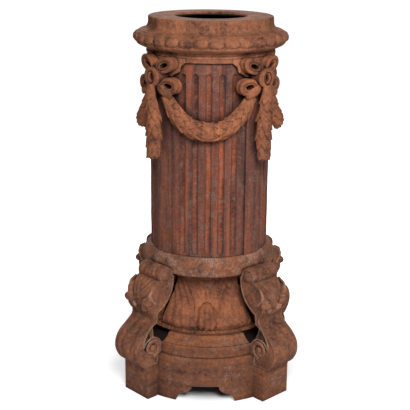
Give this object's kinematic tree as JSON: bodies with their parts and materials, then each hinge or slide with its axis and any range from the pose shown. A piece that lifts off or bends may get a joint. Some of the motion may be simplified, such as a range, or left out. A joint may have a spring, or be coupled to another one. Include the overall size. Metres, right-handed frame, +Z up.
{
  "type": "cast iron column",
  "caption": "Round hollow cast iron column with a fluted shaft, leaf swags and bows under the capital, and a footed base with scroll consoles.",
  "frame": {"origin": "centre of the base, on the floor", "axes": "+Z up along the column, front (one fluted panel) towards -Y"},
  "size_m": [0.5168, 0.5168, 1.05],
  "materials": {
    "plinth": "worn brown rust over old dark paint",
    "vase": "worn brown rust",
    "collar": "mottled rust, worn light on the edges",
    "shaft": "red rust with grey worn ridges",
    "capital": "orange rust",
    "console": "orange rust, worn light on the scroll fronts",
    "garland": "orange rust",
    "swag": "orange rust"
  },
  "bodies": {
    "root": {"plinth": "plinth", "vase": "vase", "collar": "collar", "shaft": "shaft", "capital": "capital", "console_front_right": "console", "console_rear_right": "console", "console_rear_left": "console", "console_front_left": "console", "garland_front_right": "garland", "garland_rear_right": "garland", "garland_rear_left": "garland", "garland_front_left": "garland", "swag_front": "swag", "swag_right": "swag", "swag_rear": "swag", "swag_left": "swag"}
  },
  "joints": []
}
